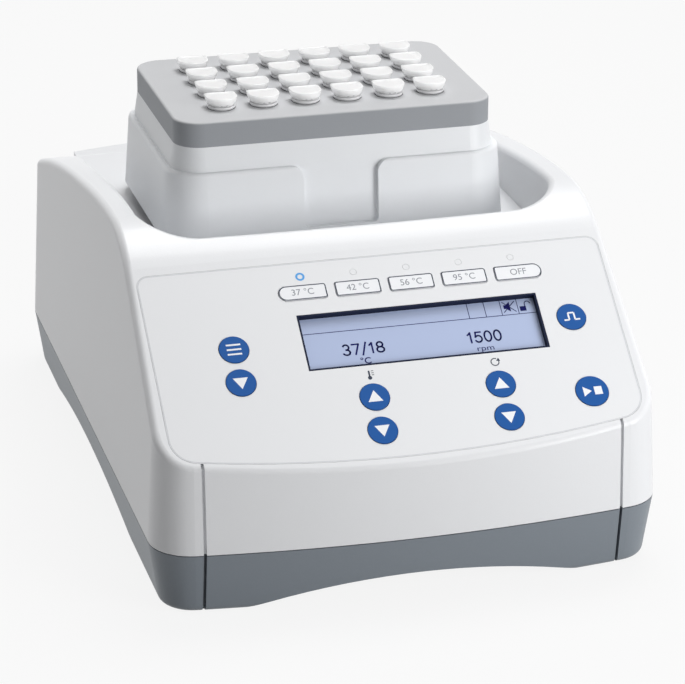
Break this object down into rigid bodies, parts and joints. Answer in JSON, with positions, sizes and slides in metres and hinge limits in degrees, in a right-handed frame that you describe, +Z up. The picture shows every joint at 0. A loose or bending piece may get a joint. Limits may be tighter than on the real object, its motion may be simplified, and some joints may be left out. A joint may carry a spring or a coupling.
{
  "type": "thermal mixer",
  "caption": "Bench thermal mixer: low curved housing with a sloping key panel and display, and a heated block of sample tubes that orbits in a deep well.",
  "frame": {"origin": "on the table under the middle of the instrument", "axes": "+X to the user's right, +Y to the rear, +Z up"},
  "size_m": [0.206, 0.304, 0.1659],
  "materials": {
    "white_shell": "fine satin moulded plastic",
    "grey_shell": "fine satin moulded plastic",
    "rubber": "matt",
    "steel": "machined",
    "foil": "fine textured printed film",
    "board": "solder mask",
    "dark_plastic": "moulded",
    "lamp": "clear moulded",
    "bezel": "smooth",
    "screen": "smooth cover over a liquid crystal display",
    "blue_key": "smooth film over a cap",
    "pale_key": "smooth film over a cap",
    "aluminium": "machined and anodised",
    "cover_grey": "fine satin moulded plastic",
    "frame_grey": "fine satin moulded plastic",
    "insulation": "closed cell foam",
    "ceramic": "fired ceramic faces",
    "tube": "translucent polypropylene",
    "zinc": "folded zinc sheet"
  },
  "bodies": {
    "housing": {"upper_housing": "white_shell", "base_housing": "grey_shell", "rubber_feet": "rubber", "housing_screws": "steel", "control_foil": "foil", "key_switches": "dark_plastic", "key_lamps": "lamp", "display_bezel": "bezel", "lcd_screen": "screen", "control_board": "board", "inner_screws": "steel", "chassis_plate": "zinc", "bridge_pillars": "steel", "bearing_bridge": "aluminium", "drive_motor": "steel", "motor_bearing": "steel", "idler_bearings": "steel", "fan_housing": "dark_plastic", "mains_inlet": "dark_plastic", "power_supply": "zinc", "main_board": "board"},
    "drive_shaft": {"drive_shaft": "steel", "counterweight": "steel"},
    "shaken_block": {"mixing_table": "aluminium", "table_bearing": "steel", "heat_sink": "aluminium", "peltier_elements": "ceramic", "thermoblock": "aluminium", "insulation_jacket": "insulation", "temperature_sensor": "steel", "block_frame": "frame_grey", "cover_plate": "cover_grey"},
    "tubes": {"sample_tubes": "tube"},
    "fan_rotor": {"fan_rotor": "dark_plastic"},
    "fuse_drawer": {"fuse_drawer": "dark_plastic"},
    "power_rocker": {"power_rocker": "dark_plastic"},
    "idler_1": {"idler_crank_1": "steel"},
    "lids_row_1": {"tube_lids_row_1": "tube"},
    "idler_2": {"idler_crank_2": "steel"},
    "lids_row_2": {"tube_lids_row_2": "tube"},
    "idler_3": {"idler_crank_3": "steel"},
    "lids_row_3": {"tube_lids_row_3": "tube"},
    "idler_4": {"idler_crank_4": "steel"},
    "lids_row_4": {"tube_lids_row_4": "tube"},
    "menu_key": {"menu_key": "blue_key"},
    "scroll_key": {"scroll_key": "blue_key"},
    "temp_up_key": {"temp_up_key": "blue_key"},
    "temp_down_key": {"temp_down_key": "blue_key"},
    "speed_up_key": {"speed_up_key": "blue_key"},
    "speed_down_key": {"speed_down_key": "blue_key"},
    "short_mix_key": {"short_mix_key": "blue_key"},
    "start_stop_key": {"start_stop_key": "blue_key"},
    "preset_key_1": {"preset_key_1": "pale_key"},
    "preset_key_2": {"preset_key_2": "pale_key"},
    "preset_key_3": {"preset_key_3": "pale_key"},
    "preset_key_4": {"preset_key_4": "pale_key"},
    "preset_key_5": {"preset_key_5": "pale_key"}
  },
  "joints": [
    {"name": "drive_spin", "type": "hinge", "parent": "housing", "child": "drive_shaft", "pos_m": [-0.0015, 0.0179, 0.047], "axis": [0, 0, 1], "continuous": true},
    {"name": "table_orbit", "type": "hinge", "parent": "drive_shaft", "child": "shaken_block", "pos_m": [0, 0.0179, 0.077], "axis": [0, 0, 1], "continuous": true},
    {"name": "fan_spin", "type": "hinge", "parent": "housing", "child": "fan_rotor", "pos_m": [-0.042, 0.137, 0.057], "axis": [0, 1, 0], "continuous": true},
    {"name": "tube_lift", "type": "slide", "parent": "shaken_block", "child": "tubes", "axis": [0, 0, 1], "range_m": [0, 0.045]},
    {"name": "fuse_slide", "type": "slide", "parent": "housing", "child": "fuse_drawer", "axis": [0, 1, 0], "range_m": [0, 0.018]},
    {"name": "power_rock", "type": "hinge", "parent": "housing", "child": "power_rocker", "pos_m": [0.0655, 0.1466, 0.056], "axis": [1, 0, 0], "range_deg": [-18, 0]},
    {"name": "idler_spin_1", "type": "hinge", "parent": "housing", "child": "idler_1", "pos_m": [-0.0515, -0.0121, 0.047], "axis": [0, 0, 1], "continuous": true},
    {"name": "idler_spin_2", "type": "hinge", "parent": "housing", "child": "idler_2", "pos_m": [0.0485, -0.0121, 0.047], "axis": [0, 0, 1], "continuous": true},
    {"name": "idler_spin_3", "type": "hinge", "parent": "housing", "child": "idler_3", "pos_m": [-0.0515, 0.0479, 0.047], "axis": [0, 0, 1], "continuous": true},
    {"name": "idler_spin_4", "type": "hinge", "parent": "housing", "child": "idler_4", "pos_m": [0.0485, 0.0479, 0.047], "axis": [0, 0, 1], "continuous": true},
    {"name": "lid_hinge_1", "type": "hinge", "parent": "tubes", "child": "lids_row_1", "pos_m": [0, -0.0012, 0.16235], "axis": [-1, 0, 0], "range_deg": [0, 80]},
    {"name": "lid_hinge_2", "type": "hinge", "parent": "tubes", "child": "lids_row_2", "pos_m": [0, 0.0166, 0.16235], "axis": [-1, 0, 0], "range_deg": [0, 80]},
    {"name": "lid_hinge_3", "type": "hinge", "parent": "tubes", "child": "lids_row_3", "pos_m": [0, 0.0344, 0.16235], "axis": [-1, 0, 0], "range_deg": [0, 80]},
    {"name": "lid_hinge_4", "type": "hinge", "parent": "tubes", "child": "lids_row_4", "pos_m": [0, 0.0522, 0.16235], "axis": [-1, 0, 0], "range_deg": [0, 80]},
    {"name": "menu_press", "type": "slide", "parent": "housing", "child": "menu_key", "axis": [0, 0.6129, -0.7902], "range_m": [0, 0.0005], "stiffness_N_per_m": 300, "springref_m": -0.0005},
    {"name": "scroll_press", "type": "slide", "parent": "housing", "child": "scroll_key", "axis": [0, 0.6129, -0.7902], "range_m": [0, 0.0005], "stiffness_N_per_m": 300, "springref_m": -0.0005},
    {"name": "temp_up_press", "type": "slide", "parent": "housing", "child": "temp_up_key", "axis": [0, 0.6129, -0.7902], "range_m": [0, 0.0005], "stiffness_N_per_m": 300, "springref_m": -0.0005},
    {"name": "temp_down_press", "type": "slide", "parent": "housing", "child": "temp_down_key", "axis": [0, 0.6129, -0.7902], "range_m": [0, 0.0005], "stiffness_N_per_m": 300, "springref_m": -0.0005},
    {"name": "speed_up_press", "type": "slide", "parent": "housing", "child": "speed_up_key", "axis": [0, 0.6129, -0.7902], "range_m": [0, 0.0005], "stiffness_N_per_m": 300, "springref_m": -0.0005},
    {"name": "speed_down_press", "type": "slide", "parent": "housing", "child": "speed_down_key", "axis": [0, 0.6129, -0.7902], "range_m": [0, 0.0005], "stiffness_N_per_m": 300, "springref_m": -0.0005},
    {"name": "short_mix_press", "type": "slide", "parent": "housing", "child": "short_mix_key", "axis": [0, 0.6129, -0.7902], "range_m": [0, 0.0005], "stiffness_N_per_m": 300, "springref_m": -0.0005},
    {"name": "start_stop_press", "type": "slide", "parent": "housing", "child": "start_stop_key", "axis": [0, 0.6129, -0.7902], "range_m": [0, 0.0005], "stiffness_N_per_m": 300, "springref_m": -0.0005},
    {"name": "preset_1_press", "type": "slide", "parent": "housing", "child": "preset_key_1", "axis": [0, 0.6129, -0.7902], "range_m": [0, 0.0005], "stiffness_N_per_m": 300, "springref_m": -0.0005},
    {"name": "preset_2_press", "type": "slide", "parent": "housing", "child": "preset_key_2", "axis": [0, 0.6129, -0.7902], "range_m": [0, 0.0005], "stiffness_N_per_m": 300, "springref_m": -0.0005},
    {"name": "preset_3_press", "type": "slide", "parent": "housing", "child": "preset_key_3", "axis": [0, 0.6129, -0.7902], "range_m": [0, 0.0005], "stiffness_N_per_m": 300, "springref_m": -0.0005},
    {"name": "preset_4_press", "type": "slide", "parent": "housing", "child": "preset_key_4", "axis": [0, 0.6129, -0.7902], "range_m": [0, 0.0005], "stiffness_N_per_m": 300, "springref_m": -0.0005},
    {"name": "preset_5_press", "type": "slide", "parent": "housing", "child": "preset_key_5", "axis": [0, 0.6129, -0.7902], "range_m": [0, 0.0005], "stiffness_N_per_m": 300, "springref_m": -0.0005}
  ],
  "couplings": [
    {"joint": "drive_spin", "follows": "table_orbit", "ratio": -1},
    {"joint": "idler_spin_1", "follows": "table_orbit", "ratio": -1},
    {"joint": "idler_spin_2", "follows": "table_orbit", "ratio": -1},
    {"joint": "idler_spin_3", "follows": "table_orbit", "ratio": -1},
    {"joint": "idler_spin_4", "follows": "table_orbit", "ratio": -1}
  ]
}
